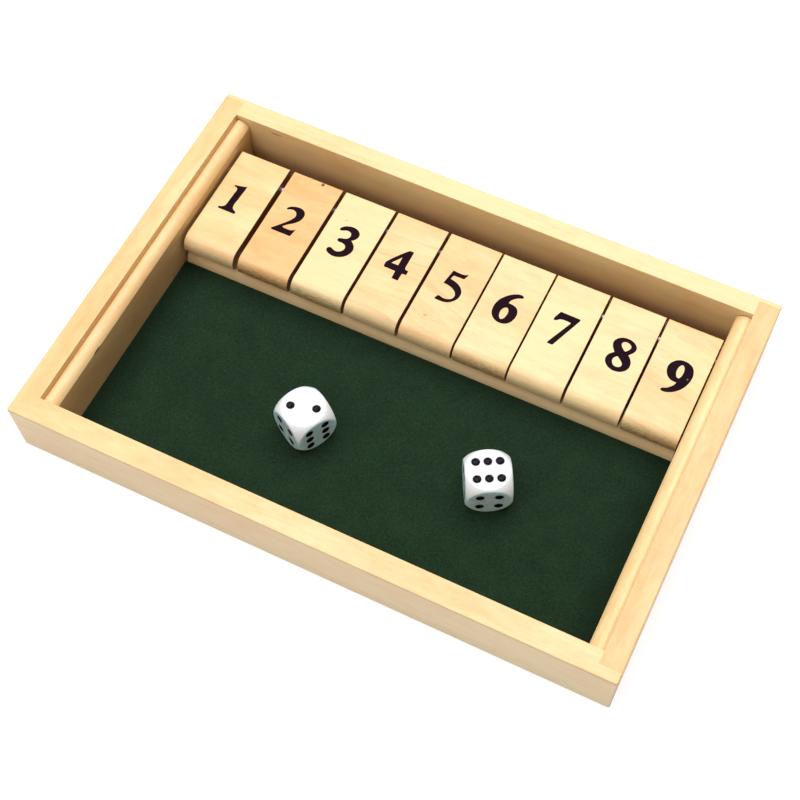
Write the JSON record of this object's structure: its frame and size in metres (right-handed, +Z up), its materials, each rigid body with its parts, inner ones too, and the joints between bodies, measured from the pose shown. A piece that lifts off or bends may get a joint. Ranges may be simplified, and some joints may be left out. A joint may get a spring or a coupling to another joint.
{
  "type": "shut the box game",
  "caption": "Open wooden game tray with a felt floor, a row of hinged number tiles that flip back on a rod along the back, and loose dice.",
  "frame": {"origin": "middle of the underside of the frame, on the surface that the game stands on", "axes": "+X along the row of tiles from the lowest number to the highest, +Y from the player's side to the back, +Z up"},
  "size_m": [0.22, 0.1521, 0.0252],
  "materials": {
    "frame_wood": "satin clear-coated pale hardwood",
    "panel_wood": "matt thin board",
    "strip_wood": "satin clear-coated pale hardwood moulding",
    "tile_wood": "satin clear-coated pale hardwood",
    "number_ink": "printed black numbers",
    "felt": "dark green felt",
    "rod_steel": "bright drawn wire",
    "dice_plastic": "glossy white",
    "pip_paint": "black paint in the pips"
  },
  "bodies": {
    "tray": {"front_rail": "frame_wood", "back_rail": "frame_wood", "left_rail": "frame_wood", "right_rail": "frame_wood", "base_panel": "panel_wood", "felt_lining": "felt", "left_pivot_strip": "strip_wood", "right_pivot_strip": "strip_wood", "pivot_rod": "rod_steel", "tile_rest": "strip_wood"},
    "tile_1": {"tile_1": "tile_wood"},
    "tile_2": {"tile_2": "tile_wood"},
    "tile_3": {"tile_3": "tile_wood"},
    "tile_4": {"tile_4": "tile_wood"},
    "tile_5": {"tile_5": "tile_wood"},
    "tile_6": {"tile_6": "tile_wood"},
    "tile_7": {"tile_7": "tile_wood"},
    "tile_8": {"tile_8": "tile_wood"},
    "tile_9": {"tile_9": "tile_wood"},
    "die_1": {"die_1": "dice_plastic"},
    "die_2": {"die_2": "dice_plastic"}
  },
  "joints": [
    {"name": "tile_1_hinge", "type": "hinge", "parent": "tray", "child": "tile_1", "pos_m": [-0.08551, 0.052, 0.01285], "axis": [-1, 0, 0], "range_deg": [0, 129.7]},
    {"name": "tile_2_hinge", "type": "hinge", "parent": "tray", "child": "tile_2", "pos_m": [-0.06327, 0.052, 0.01285], "axis": [-1, 0, 0], "range_deg": [0, 129.7]},
    {"name": "tile_3_hinge", "type": "hinge", "parent": "tray", "child": "tile_3", "pos_m": [-0.04153, 0.052, 0.01285], "axis": [-1, 0, 0], "range_deg": [0, 129.7]},
    {"name": "tile_4_hinge", "type": "hinge", "parent": "tray", "child": "tile_4", "pos_m": [-0.02004, 0.052, 0.01285], "axis": [-1, 0, 0], "range_deg": [0, 129.7]},
    {"name": "tile_5_hinge", "type": "hinge", "parent": "tray", "child": "tile_5", "pos_m": [0.00145, 0.052, 0.01285], "axis": [-1, 0, 0], "range_deg": [0, 129.7]},
    {"name": "tile_6_hinge", "type": "hinge", "parent": "tray", "child": "tile_6", "pos_m": [0.02249, 0.052, 0.01285], "axis": [-1, 0, 0], "range_deg": [0, 129.7]},
    {"name": "tile_7_hinge", "type": "hinge", "parent": "tray", "child": "tile_7", "pos_m": [0.04348, 0.052, 0.01285], "axis": [-1, 0, 0], "range_deg": [0, 129.7]},
    {"name": "tile_8_hinge", "type": "hinge", "parent": "tray", "child": "tile_8", "pos_m": [0.06477, 0.052, 0.01285], "axis": [-1, 0, 0], "range_deg": [0, 129.7]},
    {"name": "tile_9_hinge", "type": "hinge", "parent": "tray", "child": "tile_9", "pos_m": [0.08601, 0.052, 0.01285], "axis": [-1, 0, 0], "range_deg": [0, 129.7]},
    {"name": "die_1_lift", "type": "slide", "parent": "tray", "child": "die_1", "axis": [0, 0, 1], "range_m": [0, 0.05]},
    {"name": "die_2_lift", "type": "slide", "parent": "tray", "child": "die_2", "axis": [0, 0, 1], "range_m": [0, 0.05]}
  ]
}
